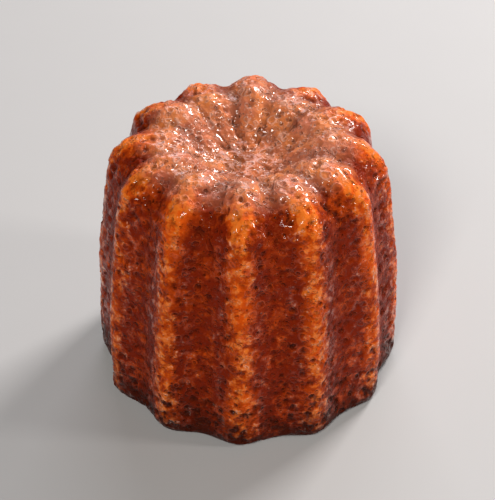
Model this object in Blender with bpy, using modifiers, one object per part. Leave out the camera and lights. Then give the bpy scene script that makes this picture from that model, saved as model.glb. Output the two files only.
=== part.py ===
"""A canele: a small fluted cake, baked upside down in a fluted copper mould.

It stands on the wide face that was the mouth of the mould. Twelve rounded ribs run up its
barrel-shaped side, roll over the shoulder and end as a scalloped rim round a dished top.
"""

import math

import bpy
from mathutils import Vector, noise

# Driving sizes, in metres, measured over the ribs
HEIGHT = 0.0492
BASE_DIAMETER = 0.0549
WAIST_DIAMETER = 0.0544  # half way up the side
SHOULDER_DIAMETER = 0.0499  # where the side starts to roll over
SHOULDER_DROP = 0.0078  # from the rim down to the shoulder
RIM_RADIUS = 0.0143  # of the circle along the top of the rim
FLOOR_RADIUS = 0.0042  # of the level middle of the dish
DISH_DEPTH = 0.0056
FOOT_ROUNDING = 0.0016

# The ribs and the grooves between them
RIBS = 12
FIRST_RIB = math.radians(-3)  # turn from +X to the middle of a rib
SIDE_GROOVE = 0.0024  # depth below the ribs
RIM_GROOVE = 0.0015
FOOT_GROOVE = 0.0018
FOOT_FADE = 0.008  # height over which the grooves grow shallower at the foot
RIM_ROUNDNESS = 0.15  # 0 is a sharp groove between round ribs, 1 an even wave
SIDE_ROUNDNESS = 0.6  # 0 is a round groove between sharp ribs, 1 an even wave

# How far each rib's end stands above or below the rim, from the first rib anticlockwise
RIM_RISE = (
    0.0001, -0.0007, -0.0007, 0.0008, -0.0003, 0.0002,
    -0.0010, 0.0004, 0.0003, 0.0005, 0.0003, 0.0002,
)  # fmt: skip

# Unevenness of a baked cake
RIB_SWAY = math.radians(1.6)  # how far a rib wanders sideways
SWAY_PACE = 2.3  # how fast that changes up and round the cake
DEPTH_SPREAD = 0.16  # share by which the grooves' depth varies
SPREAD_PACE = 3.1
SPREAD_START = Vector((0.0, 0.0, 7.0))  # away from the sway's noise
SWELL = 0.0003  # soft bulges of the whole surface
SWELL_SIZE = 0.009

# Mesh fineness
SEGMENTS = RIBS * 10
FLOOR_STEPS = 2
WALL_STEPS = 7
SHOULDER_STEPS = 8
SIDE_STEPS = 13
FOOT_STEPS = 3
WELD = 0.00001
SHARP_ANGLE = math.radians(50)

CRUST_COLOUR = (0.20, 0.045, 0.012, 1.0)
CRUST_ROUGHNESS = 0.32

SHOULDER_HEIGHT = HEIGHT - SHOULDER_DROP
FLOOR_HEIGHT = HEIGHT - DISH_DEPTH


def clear_scene():
    for obj in list(bpy.data.objects):
        bpy.data.objects.remove(obj, do_unlink=True)


def smooth(share):
    """A share from 0 to 1, eased at both ends."""
    share = min(1.0, max(0.0, share))
    return share * share * (3 - 2 * share)


def dish_line():
    """From the middle of the dish up its wall to the rim, as (radius, height)."""
    points = [(FLOOR_RADIUS * i / FLOOR_STEPS, FLOOR_HEIGHT) for i in range(FLOOR_STEPS)]
    for i in range(WALL_STEPS):
        share = i / WALL_STEPS
        radius = FLOOR_RADIUS + (RIM_RADIUS - FLOOR_RADIUS) * share
        rise = 0.5 - 0.5 * math.cos(math.pi * share)
        points.append((radius, FLOOR_HEIGHT + DISH_DEPTH * rise))
    return points


def shoulder_line():
    """From the rim over the rounded shoulder to the top of the side."""
    reach = SHOULDER_DIAMETER / 2 - RIM_RADIUS
    points = []
    for i in range(SHOULDER_STEPS):
        turn = math.pi / 2 * i / SHOULDER_STEPS
        drop = SHOULDER_DROP * (1 - math.cos(turn))
        points.append((RIM_RADIUS + reach * math.sin(turn), HEIGHT - drop))
    return points


def side_radius(height):
    """The barrel curve through the shoulder, waist and base radii."""
    share = (height - FOOT_ROUNDING) / (SHOULDER_HEIGHT - FOOT_ROUNDING)
    base = BASE_DIAMETER / 2 * (1 - share) * (1 - 2 * share)
    waist = WAIST_DIAMETER / 2 * 4 * share * (1 - share)
    shoulder = SHOULDER_DIAMETER / 2 * share * (2 * share - 1)
    return base + waist + shoulder


def side_line():
    """Down the side to the top of the rounded foot."""
    points = []
    for i in range(SIDE_STEPS):
        height = SHOULDER_HEIGHT + (FOOT_ROUNDING - SHOULDER_HEIGHT) * i / SIDE_STEPS
        points.append((side_radius(height), height))
    return points


def foot_line():
    """Round the foot and across the flat base to its middle."""
    points = []
    inner = BASE_DIAMETER / 2 - FOOT_ROUNDING
    for i in range(FOOT_STEPS + 1):
        turn = math.pi / 2 * i / FOOT_STEPS
        height = FOOT_ROUNDING * (1 - math.sin(turn))
        points.append((inner + FOOT_ROUNDING * math.cos(turn), height))
    return points + [(inner / 2, 0.0), (0.0, 0.0)]


def turned_blank():
    """The cake before fluting: the outline turned once round the Z axis."""
    outline = dish_line() + shoulder_line() + side_line() + foot_line()
    line = bpy.data.meshes.new("outline")
    line.from_pydata(
        [(radius, 0.0, height) for radius, height in outline],
        [(i, i + 1) for i in range(len(outline) - 1)],
        [],
    )
    blank = bpy.data.objects.new("blank", line)
    bpy.context.scene.collection.objects.link(blank)
    turn = blank.modifiers.new("turn", "SCREW")
    turn.axis = "Z"
    turn.steps = SEGMENTS
    turn.render_steps = SEGMENTS
    turn.use_merge_vertices = True
    turn.merge_threshold = WELD
    graph = bpy.context.evaluated_depsgraph_get()
    mesh = bpy.data.meshes.new_from_object(blank.evaluated_get(graph))
    bpy.data.objects.remove(blank, do_unlink=True)
    return mesh


def place_on_rib(angle, height):
    """(number of the nearest rib, -1 to 1 from its left groove to its right one)."""
    around = Vector((math.cos(angle), math.sin(angle), height / BASE_DIAMETER))
    swayed = angle + RIB_SWAY * noise.noise(around * SWAY_PACE) - FIRST_RIB
    ribs_round = swayed / (2 * math.pi / RIBS)
    nearest = round(ribs_round)
    return nearest % RIBS, 2 * (ribs_round - nearest)


def down_the_shoulder(radius, height):
    """0 inside the rim, 1 on the side, and the share of the way between them."""
    if height < SHOULDER_HEIGHT:
        return 1.0
    return smooth((radius - RIM_RADIUS) / (SHOULDER_DIAMETER / 2 - RIM_RADIUS))


def up_the_dish(radius):
    """0 on the dish's level floor, 1 from the rim outwards."""
    return smooth((radius - FLOOR_RADIUS) / (RIM_RADIUS - FLOOR_RADIUS))


def groove_shape(across, down):
    """0 on the crest of a rib, 1 at the bottom of the groove beside it."""
    wave = 0.5 - 0.5 * math.cos(math.pi * across)
    over = (1 - RIM_ROUNDNESS) * across**2 + RIM_ROUNDNESS * wave
    beside = (1 - SIDE_ROUNDNESS) * (1 - (1 - abs(across)) ** 2) + SIDE_ROUNDNESS * wave
    return over + (beside - over) * down**3


def groove_depth(radius, height, down):
    """Depth of the grooves at a place on the turned surface."""
    if height < FOOT_FADE:
        return FOOT_GROOVE + (SIDE_GROOVE - FOOT_GROOVE) * smooth(height / FOOT_FADE)
    return (RIM_GROOVE + (SIDE_GROOVE - RIM_GROOVE) * down) * up_the_dish(radius)


def fluted(co, normal):
    """Where a point of the blank comes to lie once the ribs are pressed in."""
    radius = math.hypot(co.x, co.y)
    if radius < WELD:
        return co.copy()
    angle = math.atan2(co.y, co.x)
    rib, across = place_on_rib(angle, co.z)
    around = Vector((math.cos(angle), math.sin(angle), 0.0))
    outward = normal if co.z > SHOULDER_HEIGHT else around
    down = down_the_shoulder(radius, co.z)
    shape = groove_shape(across, down)
    spread = 1 + DEPTH_SPREAD * noise.noise(around * SPREAD_PACE + SPREAD_START)
    depth = groove_depth(radius, co.z, down) * shape * spread
    if co.z < WELD:
        depth *= radius / (BASE_DIAMETER / 2 - FOOT_ROUNDING)
    swell = SWELL * noise.noise(co / SWELL_SIZE) * smooth(co.z / FOOT_FADE)
    rise = RIM_RISE[rib] * (1 - shape) * (1 - down) * up_the_dish(radius)
    return co + outward * (swell - depth) + Vector((0, 0, rise))


def press_ribs(mesh):
    """Moves every point of the blank, then centres the cake on the Z axis."""
    moved = [fluted(v.co, v.normal) for v in mesh.vertices]
    middle = Vector((0, 0, 0))
    for axis in (0, 1):
        values = [co[axis] for co in moved]
        middle[axis] = (min(values) + max(values)) / 2
    for vertex, co in zip(mesh.vertices, moved):
        vertex.co = co - middle


def crust_material():
    material = bpy.data.materials.new("caramel_crust")
    material.use_nodes = True
    shader = material.node_tree.nodes["Principled BSDF"]
    shader.inputs["Base Color"].default_value = CRUST_COLOUR
    shader.inputs["Roughness"].default_value = CRUST_ROUGHNESS
    shader.inputs["Metallic"].default_value = 0.0
    return material


def make_canele():
    mesh = turned_blank()
    press_ribs(mesh)
    mesh.name = "canele"
    mesh.materials.clear()
    mesh.materials.append(crust_material())
    mesh.shade_smooth()
    mesh.set_sharp_from_angle(angle=SHARP_ANGLE)
    cake = bpy.data.objects.new("canele", mesh)
    collection = bpy.data.collections.new("Canele")
    bpy.context.scene.collection.children.link(collection)
    collection.objects.link(cake)


def main():
    clear_scene()
    make_canele()


main()
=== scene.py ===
"""Looks of a canele: its caramelised crust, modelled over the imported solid, in a plain studio.

Laid out as a Blender add-on and run as a script. Lengths are in metres.
"""

import math
from collections import namedtuple
from types import SimpleNamespace

import bpy
import numpy as np
from bpy.props import FloatProperty, FloatVectorProperty, IntProperty, PointerProperty
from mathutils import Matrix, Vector


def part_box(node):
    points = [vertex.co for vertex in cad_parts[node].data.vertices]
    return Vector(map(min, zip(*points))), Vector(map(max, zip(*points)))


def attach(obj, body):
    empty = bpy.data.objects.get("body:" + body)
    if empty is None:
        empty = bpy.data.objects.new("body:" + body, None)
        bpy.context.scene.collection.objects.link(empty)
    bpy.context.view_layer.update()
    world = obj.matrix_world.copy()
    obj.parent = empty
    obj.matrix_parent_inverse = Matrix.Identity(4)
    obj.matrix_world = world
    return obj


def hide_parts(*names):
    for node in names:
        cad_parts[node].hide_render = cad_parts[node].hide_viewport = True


bl_info = {
    "name": "Canele",
    "version": (1, 0, 0),
    "blender": (4, 5, 0),
    "location": "View3D > Sidebar > Canele",
    "description": "Bakes a canele with a pitted caramel crust and lights it on a plain floor",
    "category": "Add Mesh",
}

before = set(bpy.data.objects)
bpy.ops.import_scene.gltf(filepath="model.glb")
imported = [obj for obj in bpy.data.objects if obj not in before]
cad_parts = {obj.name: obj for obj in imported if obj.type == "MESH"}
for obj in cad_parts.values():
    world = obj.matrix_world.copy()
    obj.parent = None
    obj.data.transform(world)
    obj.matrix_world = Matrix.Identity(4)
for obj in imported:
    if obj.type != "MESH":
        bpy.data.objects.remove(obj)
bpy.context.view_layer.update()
CAKE_NODE = "canele"
LOWEST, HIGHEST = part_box(CAKE_NODE)
WIDTH = HIGHEST.x - LOWEST.x
HEIGHT = HIGHEST.z - LOWEST.z

# The cage that the cake starts from, as shares of its width and height
BASE_SHARE = 0.498
WAIST_SHARE = 0.494
SHOULDER_SHARE = 0.452
RIM_SHARE = 0.26
FLOOR_SHARE = 0.07
INNER_SHARES = (0.045, 0.025, 0.010)  # rings on the dish's level floor
SHOULDER_UP = 0.83
RIM_UP = 0.985
FLOOR_UP = 0.87
FOOT_ROUNDING = 0.0016

# Fineness of the cage
COLUMNS_A_RIB = 4
SIDE_STEPS = 13
SHOULDER_STEPS = 5
DISH_STEPS = 6

# Smoothing of the facets that the cage takes over from the solid
EASE = 0.5
EASE_PASSES = 7
SHOULDER_PASSES = 12
SHOULDER_SPREAD = 0.05  # share of the height, above and below the shoulder

# Lumps: small on the sides, and growing over the shoulder to full size on the top
SIDE_LUMPS = 0.3
LUMPS_GROW_FROM = 0.75  # share of the height
LUMPS_GROW_OVER = 0.2
LUMP_LEVEL = 0.6  # shade of the lump pattern that stays in place
CRATER_REACH = 0.5  # how near to a bubble's middle the crust is pressed in

# Patterns in the crust: how often each repeats in a metre
FIELDS = 75.0
STREAKS = 130.0
PATCHES = 170.0
BLOTS = 280.0
BENDS = 420.0
BUBBLES = 560.0
SPECKS = 620.0
SMALL_BUBBLES = 1150.0
DUST = 2000.0
STREAK_SQUASH = 0.3  # of the streaks' pace up the cake, which leaves them tall
SMALLEST_BUBBLE = 0.12  # its reach, as a share of the distance between bubbles
BUBBLE_SPREAD = 0.38  # how much farther the largest one reaches
BEND_REACH = 0.0016  # how far the bubbles are pushed out of round
PAPER_GRAIN = 60.0

# Depth of the relief that is too fine for the mesh
CREASE_DEPTH = 0.0004
BUBBLE_DEPTH = 0.0003
DUST_DEPTH = 0.00006

# The camera stands where the photo's did, with a longer lens, so that the cake fills the view
CAMERA_PLACE = Vector((0.0, -0.2840, 0.2527))
CAMERA_LENS = 145.0
MIDDLE = Vector((0.0, 0.0, HEIGHT * 0.47))  # what the camera and the lights face

# Angles are in degrees: azimuth 0 is the camera's side, and 90 is on its right
Softbox = namedtuple("Softbox", "name azimuth elevation distance size watts colour")
SOFTBOXES = (
    Softbox("key_softbox", 140, 38, 0.60, 0.16, 4.2, (1.0, 0.97, 0.98)),
    Softbox("side_softbox", 80, 22, 0.60, 0.08, 1.15, (1.0, 0.98, 0.97)),
    Softbox("sparkle_lamp", 84, 4, 0.60, 0.025, 0.55, (1.0, 0.97, 0.94)),
    Softbox("front_softbox", -16, 44, 0.70, 0.16, 3.8, (1.0, 0.98, 0.96)),
    Softbox("back_softbox", 178, 42, 0.70, 0.35, 1.8, (0.92, 0.92, 1.0)),
)
AIR_COLOUR = (1.0, 0.98, 0.96, 1.0)
AIR_STRENGTH = 0.05
FLOOR_SIZE = 4.0


def length(name, description, default):
    """A length that a user can change."""
    return FloatProperty(
        name=name, description=description, default=default, subtype="DISTANCE", unit="LENGTH"
    )


def tint(name, description, default):
    """A colour that a user can change."""
    return FloatVectorProperty(
        name=name, description=description, default=default, size=3, subtype="COLOR", min=0, max=1
    )


class CaneleShape(bpy.types.PropertyGroup):
    """Sizes of the cake's ribs and of the relief in its crust."""

    ribs: IntProperty(name="Ribs", description="Ribs round the cake", default=12, min=6, max=24)
    first_rib: FloatProperty(
        name="First rib",
        description="Turn from +X to the middle of a rib",
        default=math.radians(-3),
        subtype="ANGLE",
    )
    groove: length("Groove depth", "Depth of the grooves between the ribs", 0.0024)
    swell: length("Swell", "How far the eased crust is puffed back out to the solid's size", 0.00010)
    lump_size: length("Lump size", "Width of the lumps on the top", 0.0026)
    lump_depth: length("Lump depth", "From the top of a lump to the hollow beside it", 0.0009)
    pit_size: length("Pit size", "Distance from one burst bubble to the next", 0.0019)
    pit_depth: length("Pit depth", "Depth of the burst bubbles", 0.00042)
    grain_size: length("Grain size", "Width of the crust's finest grain", 0.0006)
    grain_depth: length("Grain depth", "Depth of the crust's finest grain", 0.00014)


class CaneleColours(bpy.types.PropertyGroup):
    """Colours of the crust and of the floor."""

    # Amber is the crests' own colour with painted glow of light shining through the thin crust
    amber: tint("Amber", "Crests of the ribs, where the crust is thin and clear", (0.60, 0.072, 0.003))
    mahogany: tint("Mahogany", "Grooves and most of the side", (0.16, 0.011, 0.002))
    # Scorched is the darkest crust, and also painted shade in hollows, pits, creases, the dish and at
    # the foot
    scorched_and_shade: tint("Scorched", "Pits, creases and the foot, baked darkest", (0.045, 0.005, 0.002))
    # Honey is used as painted highlights on the crests and on the rim above them, and as golden
    # patches in the dish
    honey: tint("Honey", "Brightest spots of the crests", (0.70, 0.165, 0.018))
    # Tan is the top's paler colour, which holds a painted sheen of the light across it
    tan: tint("Tan", "The paler top", (0.49, 0.156, 0.084))
    gold: tint("Gold", "Warmer patches of the top", (0.63, 0.193, 0.055))
    # Sugar is painted glints on specks and painted highlights on the edges of bubbles
    sugar_and_glints: tint("Sugar", "Tiny pale crystals, and the edges of bubbles", (0.78, 0.50, 0.40))
    floor: tint("Floor", "The plain pale floor", (0.39, 0.382, 0.37))


# Modelling


def smooth(share):
    """A share from 0 to 1, eased at both ends."""
    share = min(1.0, max(0.0, share))
    return share * share * (3 - 2 * share)


def clear_selection():
    """Leaves edit mode and deselects everything, so that the next operator acts on nothing else."""
    if bpy.context.mode != "OBJECT":
        bpy.ops.object.mode_set(mode="OBJECT")
    bpy.ops.object.select_all(action="DESELECT")


def side_radius(share):
    """The barrel curve through base, waist and shoulder; share is 0 at the foot, 1 at the shoulder."""
    base = BASE_SHARE * (1 - share) * (1 - 2 * share)
    waist = WAIST_SHARE * 4 * share * (1 - share)
    shoulder = SHOULDER_SHARE * share * (2 * share - 1)
    return WIDTH * (base + waist + shoulder)


def side_rings():
    """(radius, height) of each ring from the rounded foot up to the shoulder."""
    rings = [(WIDTH * BASE_SHARE - FOOT_ROUNDING / 3, FOOT_ROUNDING / 3)]
    for i in range(SIDE_STEPS + 1):
        share = i / SIDE_STEPS
        height = FOOT_ROUNDING + (HEIGHT * SHOULDER_UP - FOOT_ROUNDING) * share
        rings.append((side_radius(share), height))
    return rings


def shoulder_rings():
    """The rings that roll over the shoulder to the top of the rim."""
    rings = []
    for i in range(1, SHOULDER_STEPS + 1):
        turn = math.pi / 2 * i / SHOULDER_STEPS
        radius = WIDTH * (RIM_SHARE + (SHOULDER_SHARE - RIM_SHARE) * math.cos(turn))
        height = HEIGHT * (SHOULDER_UP + (RIM_UP - SHOULDER_UP) * math.sin(turn))
        rings.append((radius, height))
    return rings


def dish_rings():
    """The rings down the wall of the dish and across its level floor."""
    rings = []
    for i in range(1, DISH_STEPS + 1):
        share = i / DISH_STEPS
        fall = 0.5 - 0.5 * math.cos(math.pi * share)
        radius = WIDTH * (RIM_SHARE + (FLOOR_SHARE - RIM_SHARE) * share)
        height = HEIGHT * (RIM_UP - (RIM_UP - FLOOR_UP) * fall)
        rings.append((radius, height))
    return rings + [(WIDTH * share, HEIGHT * FLOOR_UP) for share in INNER_SHARES]


def start_cage(shape):
    """A flat round of pastry with a point for each rib, groove and flank, its grooves pressed in."""
    bpy.ops.mesh.primitive_circle_add(
        vertices=shape.ribs * COLUMNS_A_RIB,
        radius=WIDTH * BASE_SHARE - FOOT_ROUNDING,
        fill_type="NGON",
        rotation=(0, 0, shape.first_rib),
    )
    cake = bpy.context.object
    cake.name = "cake_crust"
    cake.data.name = "cake_crust"
    bpy.ops.object.transform_apply(location=False, rotation=True, scale=False)
    spacing = 2 * math.pi / shape.ribs
    for vertex in cake.data.vertices:
        angle = math.atan2(vertex.co.y, vertex.co.x) - shape.first_rib
        across = abs(angle / spacing - round(angle / spacing)) * 2
        press = shape.groove * (0.5 - 0.5 * math.cos(math.pi * across))
        vertex.co.xy *= 1 - press / vertex.co.xy.length
    return cake


def raise_cage():
    """Extrudes the flat round up the side, over the shoulder and into the dish, ring by ring."""
    bpy.ops.object.mode_set(mode="EDIT")
    bpy.ops.mesh.select_all(action="SELECT")
    radius, height = WIDTH * BASE_SHARE - FOOT_ROUNDING, 0.0
    for next_radius, next_height in side_rings() + shoulder_rings() + dish_rings():
        rise = (0, 0, next_height - height)
        bpy.ops.mesh.extrude_region_move(TRANSFORM_OT_translate={"value": rise})
        scale = next_radius / radius
        bpy.ops.transform.resize(value=(scale, scale, 1), center_override=(0, 0, next_height))
        radius, height = next_radius, next_height
    bpy.ops.mesh.select_all(action="SELECT")
    bpy.ops.mesh.normals_make_consistent(inside=False)
    bpy.ops.object.mode_set(mode="OBJECT")


def finish_with(cake, kind, **settings):
    """Adds a modifier with these settings and applies it."""
    modifier = cake.modifiers.new(kind.lower(), kind)
    for name, value in settings.items():
        setattr(modifier, name, value)
    bpy.ops.object.modifier_apply(modifier=modifier.name)


def refine_onto_solid(cake, levels):
    """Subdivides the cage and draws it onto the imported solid, which holds the true uneven form."""
    finish_with(cake, "SUBSURF", levels=levels, render_levels=levels)
    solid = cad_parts[CAKE_NODE]
    finish_with(cake, "SHRINKWRAP", target=solid, wrap_method="NEAREST_SURFACEPOINT")


def make_group(cake, name, weight):
    """A vertex group whose weight at each point is weight(its place)."""
    group = cake.vertex_groups.new(name=name)
    for vertex in cake.data.vertices:
        group.add([vertex.index], weight(vertex.co), "REPLACE")


def near_the_shoulder(place):
    """All where the side turns into the shoulder, fading out above and below."""
    return smooth(1 - abs(place.z / HEIGHT - SHOULDER_UP) / SHOULDER_SPREAD)


def off_the_floor(place):
    """0 on the flat base, 1 from just above the foot."""
    return smooth(place.z / FOOT_ROUNDING)


def on_the_top(place):
    """A little on the sides, all on the shoulder and in the dish, and nothing on the base."""
    share = smooth((place.z / HEIGHT - LUMPS_GROW_FROM) / LUMPS_GROW_OVER)
    return off_the_floor(place) * (SIDE_LUMPS + (1 - SIDE_LUMPS) * share)


def ease_facets(cake, shape):
    """Smooths the solid's facets away, then puffs the crust out by what that takes off."""
    make_group(cake, "shoulder", near_the_shoulder)
    finish_with(cake, "SMOOTH", factor=EASE, iterations=EASE_PASSES)
    finish_with(cake, "SMOOTH", factor=EASE, iterations=SHOULDER_PASSES, vertex_group="shoulder")
    make_group(cake, "above_floor", off_the_floor)
    finish_with(cake, "DISPLACE", strength=shape.swell, mid_level=0.0, vertex_group="above_floor")


def press_relief(cake, name, kind, size, depth, group="above_floor", level=1.0, reach=None):
    """Presses a cloud or bubble pattern into the crust. Level is the shade that stays in place.

    With a reach, only what lies nearer than that to a bubble's middle is pressed, as a round crater.
    """
    texture = bpy.data.textures.new(name, kind)
    texture.noise_scale = size
    if reach is not None:
        texture.use_color_ramp = True
        texture.color_ramp.interpolation = "EASE"
        first, last = texture.color_ramp.elements
        first.position, last.position = reach / 4, reach
        first.color, last.color = (0, 0, 0, 1), (1, 1, 1, 1)
    finish_with(
        cake,
        "DISPLACE",
        texture=texture,
        texture_coords="LOCAL",
        direction="NORMAL",
        mid_level=level,
        strength=depth,
        vertex_group=group,
    )


def places(cake):
    """The place of each point of the cake, one in a row."""
    found = np.empty(len(cake.data.vertices) * 3)
    cake.data.vertices.foreach_get("co", found)
    return found.reshape(-1, 3)


def keep_relief(cake, before):
    """Stores how far each point was moved since before, from 0 at the farthest to 1 at the least."""
    moved = np.linalg.norm(places(cake) - before, axis=1)
    low, high = np.percentile(moved, (2, 98))
    attribute = cake.data.attributes.new("relief", "FLOAT", "POINT")
    attribute.data.foreach_set("value", np.clip((high - moved) / (high - low), 0, 1))


# Materials


class Value:
    """A socket of a material. An expression on it adds Math nodes."""

    def __init__(self, finish, socket):
        self.finish = finish
        self.socket = socket

    def maths(self, operation, first, second, clamp=False):
        settings = {"operation": operation, "use_clamp": clamp}
        return self.finish.node("ShaderNodeMath", settings, {0: first, 1: second})

    def __add__(self, other):
        return self.maths("ADD", self, other)

    def __radd__(self, other):
        return self.maths("ADD", other, self)

    def __sub__(self, other):
        return self.maths("SUBTRACT", self, other)

    def __rsub__(self, other):
        return self.maths("SUBTRACT", other, self)

    def __mul__(self, other):
        return self.maths("MULTIPLY", self, other)

    def __rmul__(self, other):
        return self.maths("MULTIPLY", other, self)

    def __truediv__(self, other):
        return self.maths("DIVIDE", self, other)

    def __rtruediv__(self, other):
        return self.maths("DIVIDE", other, self)

    def or_more(self, other):
        return self.maths("MAXIMUM", self, other)

    def clamped(self):
        return self.maths("ADD", self, 0.0, clamp=True)


class Finish:
    """A material under construction, with its Principled BSDF."""

    def __init__(self, name, constants):
        self.material = bpy.data.materials.new(name)
        self.material.use_nodes = True
        self.tree = self.material.node_tree
        self.shader = self.tree.nodes["Principled BSDF"]
        self.dress(constants)

    def dress(self, sockets):
        """Sets or links these sockets of the Principled BSDF."""
        for name, value in sockets.items():
            self.feed(self.shader.inputs[name], value)

    def node(self, kind, settings=None, inputs=None, output=0):
        """Adds a node of this kind: its settings first, then its sockets' values or links."""
        node = self.tree.nodes.new(kind)
        for name, value in (settings or {}).items():
            if name == "stops":
                self.set_stops(node.color_ramp, value)
            else:
                setattr(node, name, value)
        for name, value in (inputs or {}).items():
            self.feed(node.inputs[name], value)
        return Value(self, node.outputs[output])

    @staticmethod
    def set_stops(ramp, stops):
        while len(ramp.elements) < len(stops):
            ramp.elements.new(0.5)
        for element, (place, level) in zip(ramp.elements, stops):
            element.position = place
            element.color = (level, level, level, 1.0)

    def feed(self, socket, value):
        """Links a value to a socket, or sets the socket to a number or colour."""
        if isinstance(value, Value):
            self.tree.links.new(value.socket, socket)
        elif socket.type == "RGBA" and len(value) == 3:
            socket.default_value = (*value, 1.0)
        else:
            socket.default_value = value

    def place(self):
        """The place on the piece, in metres."""
        return self.node("ShaderNodeTexCoord", output=3)

    def ramp(self, value, *stops):
        """Value through straight steps between (place, level) stops."""
        return self.node("ShaderNodeValToRGB", {"stops": stops}, {"Fac": value})

    def noise(self, place, scale, detail, roughness=0.5, output=0):
        """Soft noise from 0 to 1, or three such noises as a colour with output 1."""
        inputs = {"Vector": place, "Scale": scale, "Detail": detail, "Roughness": roughness}
        return self.node("ShaderNodeTexNoise", {}, inputs, output)

    def squeezed(self, place, shares):
        """Place with each axis multiplied by its share."""
        return self.node("ShaderNodeMapping", {}, {"Vector": place, "Scale": shares})

    def mix(self, share, first, second):
        """The first colour turned by that share into the second."""
        settings = {"data_type": "RGBA", "clamp_factor": True}
        return self.node("ShaderNodeMix", settings, {0: share, 6: first, 7: second}, output=2)

    def bump(self, height, distance, under=None):
        """Relief of this height from 0 to 1, on top of the relief under it."""
        inputs = {"Height": height, "Distance": distance, "Strength": 1.0}
        if under is not None:
            inputs["Normal"] = under
        return self.node("ShaderNodeBump", {}, inputs)


def bubbles(crust, place, scale):
    """(how far inside a burst bubble, how near its edge), each from 0 to 1. Their sizes vary."""
    inputs = {"Vector": place, "Scale": scale}
    away = crust.node("ShaderNodeTexVoronoi", {}, inputs)
    shade = crust.node("ShaderNodeTexVoronoi", {}, inputs, output=1)
    chance = crust.node("ShaderNodeSeparateColor", {}, {"Color": shade})
    reach = away / (SMALLEST_BUBBLE + BUBBLE_SPREAD * chance) * 0.5
    hole = crust.ramp(reach, (0.1, 1.0), (0.48, 0.0))
    edge = crust.ramp(reach, (0.36, 0.0), (0.5, 1.0), (0.68, 0.0))
    return hole, edge


def two_sizes_of_bubbles(crust, place):
    """Large and small burst bubbles together, all pushed out of round."""
    drift = crust.noise(place, BENDS, detail=2.0, output=1)
    bend = {0: drift, 1: (BEND_REACH,) * 3, 2: place}
    bent = crust.node("ShaderNodeVectorMath", {"operation": "MULTIPLY_ADD"}, bend)
    hole, edge = bubbles(crust, bent, BUBBLES)
    small_hole, small_edge = bubbles(crust, bent, SMALL_BUBBLES)
    return hole.or_more(0.7 * small_hole), edge.or_more(0.7 * small_edge)


def rib_wave(crust, x, y, shape):
    """1 on the crest of a rib, 0 in the groove beside it."""
    angle = crust.node("ShaderNodeMath", {"operation": "ARCTAN2"}, {0: y, 1: x})
    wave = (angle - shape.first_rib) * float(shape.ribs)
    return 0.5 + 0.5 * crust.node("ShaderNodeMath", {"operation": "COSINE"}, {0: wave})


def add_noises(crust, spot, place):
    """Noises of every size, from calm and rugged fields down to dust and the specks of painted glints.
    """
    spot.fields = crust.noise(place, FIELDS, detail=1.0)
    spot.rugged = crust.ramp(spot.fields, (0.38, 0.45), (0.56, 1.0))
    tall = crust.squeezed(place, (1.0, 1.0, STREAK_SQUASH))
    spot.streaks = crust.noise(tall, STREAKS, detail=3.0, roughness=0.6)
    spot.patches = crust.noise(place, PATCHES, detail=4.0, roughness=0.6)
    spot.blots = crust.ramp(crust.noise(place, BLOTS, detail=2.0), (0.45, 1.0), (0.55, 0.0))
    spot.specks = crust.noise(place, SPECKS, detail=2.5, roughness=0.6)
    spot.dust = crust.noise(place, DUST, detail=2.0)
    spot.sugar_and_glints = crust.ramp(spot.dust * 0.45 + spot.specks * 0.55, (0.60, 0.0), (0.65, 1.0))


def add_zones(crust, spot, place, up):
    """Painted shade at the foot, a painted highlight on the rim above the ribs, the pale top with its
    painted sheen and its creases, the bowl of the dish.
    """
    flat = crust.squeezed(place, (1.0, 1.0, 0.0))
    out = crust.node("ShaderNodeVectorMath", {"operation": "LENGTH"}, {0: flat}, output=1) / WIDTH
    uneven = spot.patches - 0.5
    inner = crust.ramp(out, (0.27, 1.0), (0.33, 0.0))
    rise = up - 0.02 * (spot.crest - 0.5) + 0.06 * uneven
    upper = crust.ramp(rise, (0.935, 0.0), (0.985, 1.0))
    # Painted shade, darker towards the bottom of the side
    spot.foot = crust.ramp(up + 0.25 * uneven, (0.0, 1.0), (0.12, 0.4), (0.32, 0.0))
    # A painted highlight along the rim above the ribs
    spot.lip = crust.ramp(rise, (0.86, 0.0), (0.93, 1.0), (0.955, 1.0), (0.985, 0.0)) * (1 - inner)
    spot.top = upper.or_more(inner * crust.ramp(up, (0.5, 0.0), (0.6, 1.0)))
    spot.bowl = crust.ramp(out, (0.06, 1.0), (0.22, 0.0))
    between = crust.ramp(spot.crest + 0.7 * uneven, (0.0, 1.0), (0.22, 0.0)) * spot.top
    spot.creases = between * crust.ramp(out, (0.06, 0.0), (0.12, 1.0)) * (0.25 + 0.75 * spot.rugged)


def crust_spot(crust, shape):
    """All that the colour, shine and relief at a spot of the crust depend on."""
    place = crust.place()
    x, y, z = (crust.node("ShaderNodeSeparateXYZ", {}, {"Vector": place}, axis) for axis in range(3))
    spot = SimpleNamespace()
    spot.relief = crust.node("ShaderNodeAttribute", {"attribute_name": "relief"}, output=2)
    spot.crest = rib_wave(crust, x, y, shape)
    spot.hole, spot.edge = two_sizes_of_bubbles(crust, place)
    add_noises(crust, spot, place)
    add_zones(crust, spot, place, z / HEIGHT)
    return spot


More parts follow.
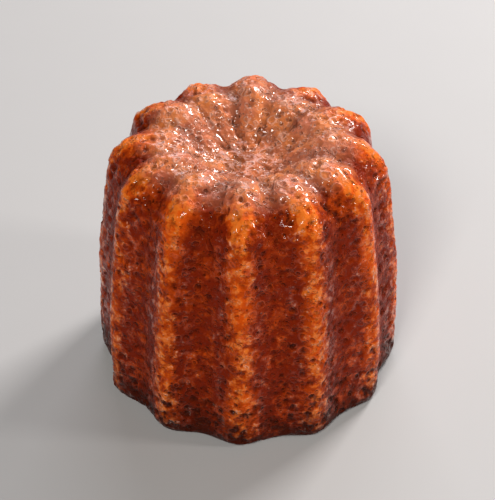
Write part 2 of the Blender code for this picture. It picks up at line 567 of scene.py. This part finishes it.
def side_colour(crust, spot, colours):
    """Mahogany, with amber on the crests of the ribs, their own colour with painted glow, and honey as
    painted highlights on their brightest spots.
    """
    # Amber on the crests: partly the crust's own colour, partly painted glow of light shining through
    # the thin crust
    sharp_crest = spot.crest * spot.crest
    band = crust.ramp(sharp_crest + 0.7 * (spot.streaks - 0.5), (0.30, 0.0), (1.0, 0.95))
    band = band * (1.15 - 0.5 * spot.rugged)
    # Random mottle, with a painted highlight on the edges of bubbles
    mottle = 1.2 * (spot.patches - 0.5) + 2.0 * spot.rugged * (spot.specks - 0.5) + 0.25 * spot.edge
    glow = (band + mottle + 0.8 * spot.lip * (spot.crest - 0.1)).clamped()
    # Painted highlights: honey on bright specks of the crests and on the rim above them
    crest_highlights = spot.specks + 0.25 * sharp_crest + 0.14 * spot.lip * spot.crest
    side = crust.mix(glow, colours.mahogany, colours.amber)
    return crust.mix(crust.ramp(crest_highlights, (0.71, 0.0), (0.86, 0.8)), side, colours.honey)


def top_colour(crust, spot, colours):
    """Tan, holding a painted sheen, with golden patches and painted highlights on the edges of
    bubbles.
    """
    warm = crust.ramp(spot.patches, (0.45, 0.0), (0.65, 1.0))
    return crust.mix(0.5 * spot.edge, crust.mix(warm, colours.tan, colours.gold), colours.sugar_and_glints)


def crust_colour(crust, spot, colours):
    """The side and the top, then darker crust with painted shade, then painted glints."""
    side = side_colour(crust, spot, colours)
    # The paler top holds a painted sheen of the light across it
    colour = crust.mix(spot.top * 0.9, side, top_colour(crust, spot, colours))
    golden = spot.bowl * crust.ramp(spot.fields, (0.48, 0.0), (0.60, 0.4))
    colour = crust.mix(golden, colour, colours.honey)

    # Darker crust: random mottle, and painted shade in the hollows of the relief, in bubble pits, at
    # the foot, in the creases between petals and over the dish, with dark blots in the dish
    dark = 0.50 - spot.relief + spot.foot * 1.6 + 1.9 * spot.rugged * (0.46 - spot.specks)
    dark = (dark + 0.7 * spot.hole).clamped()
    dark = dark.or_more(0.8 * spot.creases).or_more(0.9 * spot.blots * spot.bowl)
    dark = dark.or_more(0.32 * spot.bowl)
    colour = crust.mix(dark * (1 - 0.4 * spot.top), colour, colours.scorched_and_shade)

    # Painted glints on specks: a few on the side, more on the crests and most on the top
    crystals = spot.sugar_and_glints * (0.05 + 0.3 * spot.crest).or_more(0.4 * spot.top)
    return crust.mix(crystals, colour, colours.sugar_and_glints)


def crust_shine(crust, spot):
    """Where the syrup shines: on specks and bubble edges, less in the grooves, most on the top."""
    side = crust.ramp(spot.specks, (0.53, 0.0), (0.60, 0.9)).or_more(0.9 * spot.edge)
    side = side * crust.ramp(spot.crest, (0.1, 0.15), (0.4, 1.0))
    return side.or_more(spot.top * crust.ramp(spot.specks, (0.42, 0.2), (0.52, 1.0)))


def crust_relief(crust, spot):
    """Creases, then bubbles and plateaus, then dust."""
    plateau = crust.ramp(spot.specks, (0.30, 0.0), (0.58, 1.0))
    folds = crust.bump(1 - spot.creases, CREASE_DEPTH)
    pitted = crust.bump(0.5 * plateau + (1 - spot.hole) + 0.4 * spot.edge, BUBBLE_DEPTH, under=folds)
    return crust.bump(spot.dust + spot.sugar_and_glints, DUST_DEPTH, under=pitted)


def crust_finish(shape, colours):
    """Caramelised crust: amber ribs with painted glow, mahogany grooves, a paler top with painted
    sheen, and burst bubbles with painted shade in their pits.
    """
    constants = {
        "Coat Roughness": 0.08,
        "Coat IOR": 1.38,
        "Specular IOR Level": 0.12,
        "Specular Tint": (1.0, 0.36, 0.10),
    }
    crust = Finish("caramel_crust", constants)
    spot = crust_spot(crust, shape)
    crust.dress(
        {
            "Base Color": crust_colour(crust, spot, colours),
            "Roughness": 0.30 + 0.25 * spot.patches,
            "Coat Weight": crust_shine(crust, spot),
            "Normal": crust_relief(crust, spot),
        }
    )
    return crust.material


def floor_finish(colours):
    """Matt pale paper with a barely visible grain."""
    paper = Finish("pale_floor", {"Roughness": 0.75})
    grain = paper.noise(paper.place(), PAPER_GRAIN, detail=5.0)
    darker = tuple(0.97 * level for level in colours.floor)
    paper.dress({"Base Color": paper.mix(grain, colours.floor, darker)})
    return paper.material


def wear(thing, material):
    """Gives a piece this material and no other."""
    thing.data.materials.clear()
    thing.data.materials.append(material)


# Stage


def add_softbox(box):
    """A square light that faces the cake."""
    turn, tilt = math.radians(box.azimuth), math.radians(box.elevation)
    level = math.cos(tilt)
    outward = Vector((math.sin(turn) * level, -math.cos(turn) * level, math.sin(tilt)))
    bpy.ops.object.light_add(type="AREA", location=MIDDLE + outward * box.distance)
    light = bpy.context.object
    light.name = box.name
    light.rotation_euler = outward.to_track_quat("Z", "Y").to_euler()
    light.data.shape = "SQUARE"
    light.data.size = box.size
    light.data.energy = box.watts
    light.data.color = box.colour


def add_air():
    """Faint even light from all round."""
    world = bpy.data.worlds.new("studio")
    world.use_nodes = True
    background = world.node_tree.nodes["Background"]
    background.inputs["Color"].default_value = AIR_COLOUR
    background.inputs["Strength"].default_value = AIR_STRENGTH
    bpy.context.scene.world = world


def add_camera():
    """A camera at the photo's angle, with no blur."""
    bpy.ops.object.camera_add(location=CAMERA_PLACE)
    camera = bpy.context.object
    camera.rotation_euler = (CAMERA_PLACE - MIDDLE).to_track_quat("Z", "Y").to_euler()
    camera.data.lens = CAMERA_LENS
    camera.data.clip_start = 0.01
    camera.data.dof.use_dof = False
    bpy.context.scene.camera = camera


# Operators


class CANELE_OT_cake(bpy.types.Operator):
    """Bake the cake: a fluted cage drawn onto the solid, then pitted and given its crust"""

    bl_idname = "canele.cake"
    bl_label = "Bake the cake"
    bl_options = {"REGISTER", "UNDO"}

    def execute(self, context):
        shape = context.scene.canele_shape
        clear_selection()
        cake = start_cage(shape)
        raise_cage()
        refine_onto_solid(cake, 2)
        refine_onto_solid(cake, 1)
        ease_facets(cake, shape)
        make_group(cake, "top", on_the_top)
        plain = places(cake)
        press_relief(cake, "lumps", "CLOUDS", shape.lump_size, shape.lump_depth, "top", LUMP_LEVEL)
        press_relief(cake, "craters", "VORONOI", shape.pit_size, shape.pit_depth, reach=CRATER_REACH)
        press_relief(cake, "grain", "CLOUDS", shape.grain_size, shape.grain_depth)
        keep_relief(cake, plain)
        cake.data.shade_smooth()
        wear(cake, crust_finish(shape, context.scene.canele_colours))
        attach(cake, "root")
        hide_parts(CAKE_NODE)
        return {"FINISHED"}


class CANELE_OT_stage(bpy.types.Operator):
    """Set the stage: a pale floor, soft lights and the camera"""

    bl_idname = "canele.stage"
    bl_label = "Set the stage"
    bl_options = {"REGISTER", "UNDO"}

    def execute(self, context):
        clear_selection()
        bpy.ops.mesh.primitive_plane_add(size=FLOOR_SIZE)
        floor = bpy.context.object
        floor.name = "floor"
        wear(floor, floor_finish(context.scene.canele_colours))
        for box in SOFTBOXES:
            add_softbox(box)
        add_air()
        add_camera()
        context.scene.view_settings.view_transform = "Standard"
        return {"FINISHED"}


class CANELE_PT_sidebar(bpy.types.Panel):
    """Lists the steps, sizes and colours"""

    bl_idname = "CANELE_PT_sidebar"
    bl_label = "Canele"
    bl_space_type = "VIEW_3D"
    bl_region_type = "UI"
    bl_category = "Canele"

    def draw(self, context):
        for group in (context.scene.canele_shape, context.scene.canele_colours):
            for name in group.__annotations__:
                self.layout.prop(group, name)
        for step in STEPS:
            self.layout.operator(step.bl_idname)


STEPS = (CANELE_OT_cake, CANELE_OT_stage)
CLASSES = (CaneleShape, CaneleColours, *STEPS, CANELE_PT_sidebar)


def register():
    for kind in CLASSES:
        bpy.utils.register_class(kind)
    bpy.types.Scene.canele_shape = PointerProperty(type=CaneleShape)
    bpy.types.Scene.canele_colours = PointerProperty(type=CaneleColours)


def unregister():
    del bpy.types.Scene.canele_colours
    del bpy.types.Scene.canele_shape
    for kind in reversed(CLASSES):
        bpy.utils.unregister_class(kind)


def main():
    register()
    bpy.ops.canele.cake()
    bpy.ops.canele.stage()


if __name__ == "__main__":
    main()
